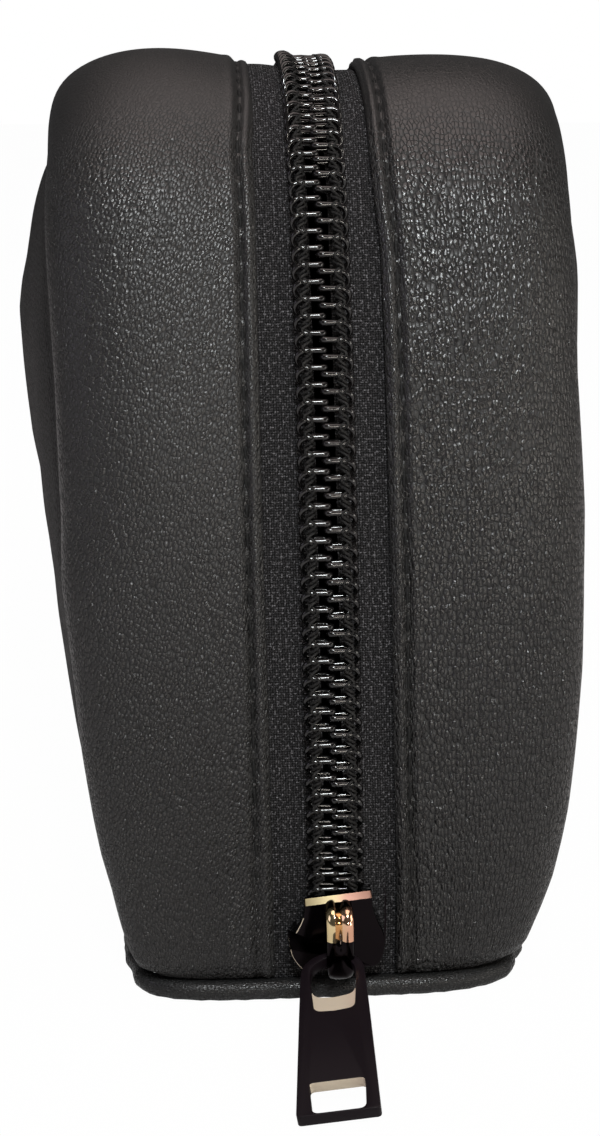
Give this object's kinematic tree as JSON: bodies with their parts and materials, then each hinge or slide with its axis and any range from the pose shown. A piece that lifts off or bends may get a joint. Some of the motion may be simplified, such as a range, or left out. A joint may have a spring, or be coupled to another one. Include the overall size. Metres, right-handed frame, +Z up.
{
  "type": "toiletry bag",
  "caption": "Soft leather-look toiletry bag that stands on a piped flat base, closed by one coil zip that runs up its end, over the top and down the far end, with a metal slider and puller.",
  "frame": {"origin": "middle of the base's underside, on the surface that the bag stands on", "axes": "+X to the right and +Y away from the viewer of the end with the closed slider, +Z up; the length runs along Y and the width along X"},
  "size_m": [0.091, 0.2716, 0.124],
  "materials": {
    "leather": "black pebble-grained leather, soft sheen",
    "piping_leather": "black leather rolled over a cord",
    "board": "stiff plastic board",
    "lining": "plain black woven lining",
    "padding": "soft grey foam padding",
    "binding": "black seam binding",
    "tape": "black woven zip tape",
    "coil": "black nylon monofilament",
    "slider_metal": "polished black nickel plate",
    "spring_steel": "thin spring steel"
  },
  "bodies": {
    "bag": {"gusset_leather_left": "leather", "gusset_leather_right": "leather", "side_panel_left": "leather", "side_panel_right": "leather", "base_panel": "leather", "base_piping": "piping_leather", "base_board": "board", "base_lining": "lining", "gusset_lining_left": "lining", "gusset_lining_right": "lining", "side_lining_left": "lining", "side_lining_right": "lining", "inner_pocket": "lining", "side_padding_left": "padding", "side_padding_right": "padding", "seam_binding_left": "binding", "seam_binding_right": "binding", "zip_tape_left": "tape", "zip_tape_right": "tape", "zip_coil_left": "coil", "zip_coil_right": "coil"},
    "slider": {"slider_body": "slider_metal", "slider_bail": "slider_metal", "lock_spring": "spring_steel"},
    "puller": {"puller": "slider_metal"}
  },
  "joints": [
    {"name": "zip_travel", "type": "hinge", "parent": "bag", "child": "slider", "pos_m": [0, 0.10448, 0.0185], "axis": [-1, 0, 0], "range_deg": [0, 21.5], "deforming": ["zip_coil_left", "zip_coil_right"]},
    {"name": "puller_swing", "type": "hinge", "parent": "slider", "child": "puller", "pos_m": [0, -0.12319, 0.00789], "axis": [-1, 0, 0], "range_deg": [-65, 98]}
  ]
}
